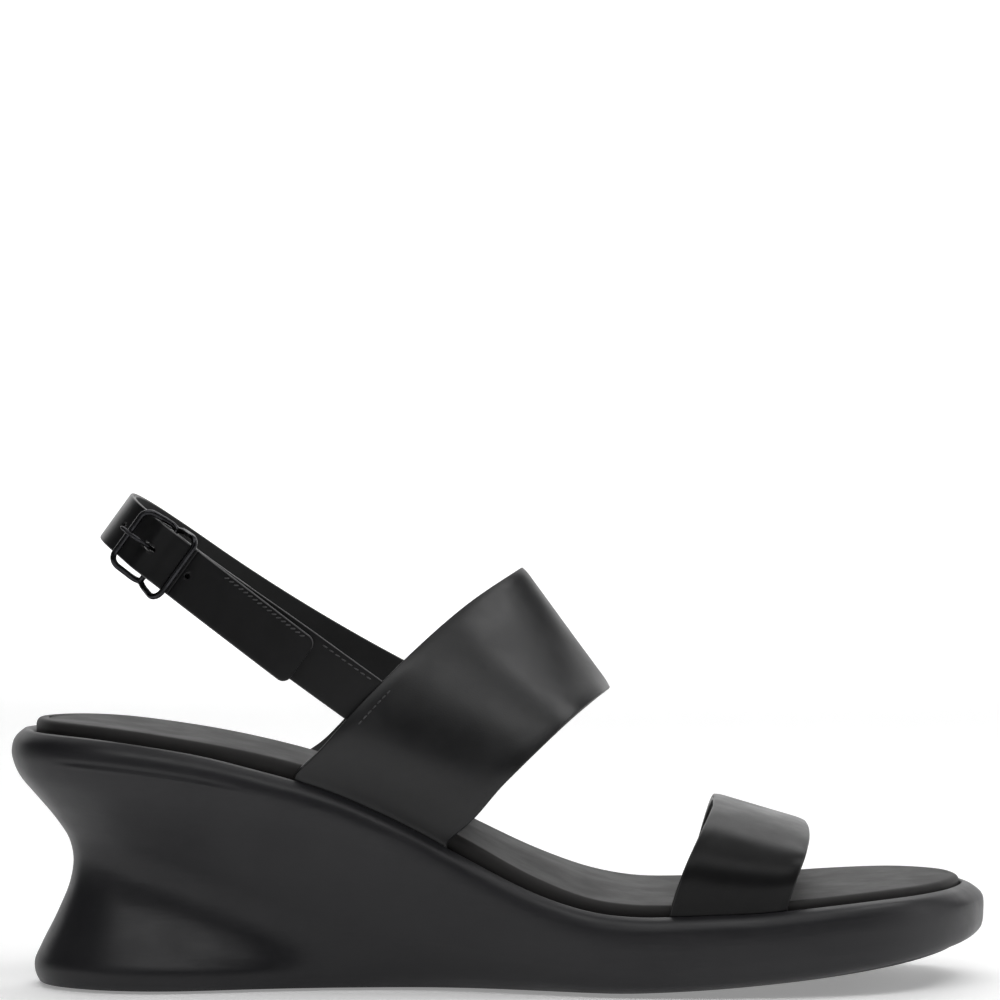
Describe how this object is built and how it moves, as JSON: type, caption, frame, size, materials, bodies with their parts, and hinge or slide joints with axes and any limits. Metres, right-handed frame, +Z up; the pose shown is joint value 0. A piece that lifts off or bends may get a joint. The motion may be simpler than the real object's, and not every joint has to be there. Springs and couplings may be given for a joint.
{
  "type": "wedge sandal",
  "caption": "Right-foot wedge sandal: moulded sole with hourglass heel, covered footbed, toe strap, wide instep strap and a slingback strap with a centre-bar buckle.",
  "frame": {"origin": "on the ground, at the centre of the bounding box seen from above", "axes": "+X towards the toe, +Y towards the medial side (the big toe), +Z up"},
  "size_m": [0.2539, 0.0902, 0.127],
  "materials": {
    "moulded_sole": "smooth satin moulded foam rubber",
    "tread_rubber": "matt grooved rubber",
    "black_leather": "smooth semi-gloss leather",
    "black_lining": "matt lining leather",
    "footbed_leather": "smooth satin leather",
    "insole_board": "pressed fibre board",
    "pad_foam": "soft foam",
    "shank_steel": "plain steel",
    "gunmetal": "dark gunmetal plating, glossy"
  },
  "bodies": {
    "shoe": {"wedge_sole": "moulded_sole", "tread_sole": "tread_rubber", "insole_board": "insole_board", "footbed_pad": "pad_foam", "footbed_cover": "footbed_leather", "steel_shank": "shank_steel", "shank_rivet_rear": "shank_steel", "shank_rivet_front": "shank_steel", "toe_strap_outer": "black_leather", "toe_strap_lining": "black_lining", "instep_strap_outer": "black_leather", "instep_strap_lining": "black_lining", "sling_tab_lateral": "black_lining", "sling_tab_medial": "black_lining"},
    "slingback": {"chape_strap": "black_leather", "chape_lining": "black_lining", "heel_strap_outer": "black_leather", "heel_strap_lining": "black_lining"},
    "buckle": {"buckle_frame": "gunmetal"},
    "prong": {"buckle_prong": "gunmetal"},
    "billet": {"billet_tip_outer": "black_leather", "billet_tip_lining": "black_lining"}
  },
  "joints": [
    {"name": "slingback_swing", "type": "hinge", "parent": "shoe", "child": "slingback", "pos_m": [-0.04119, -0.00412, 0.0821], "axis": [0, 1, 0], "range_deg": [-30, 15]},
    {"name": "buckle_tilt", "type": "hinge", "parent": "slingback", "child": "buckle", "pos_m": [-0.08665, -0.031, 0.11191], "axis": [0.5878, 0, 0.809], "range_deg": [-4, 4]},
    {"name": "prong_lift", "type": "hinge", "parent": "buckle", "child": "prong", "pos_m": [-0.08665, -0.031, 0.11191], "axis": [0.5878, 0, 0.809], "range_deg": [0, 10]},
    {"name": "billet_lift", "type": "hinge", "parent": "slingback", "child": "billet", "pos_m": [-0.07784, -0.03584, 0.10551], "axis": [-0.5878, 0, -0.809], "range_deg": [0, 45]}
  ]
}
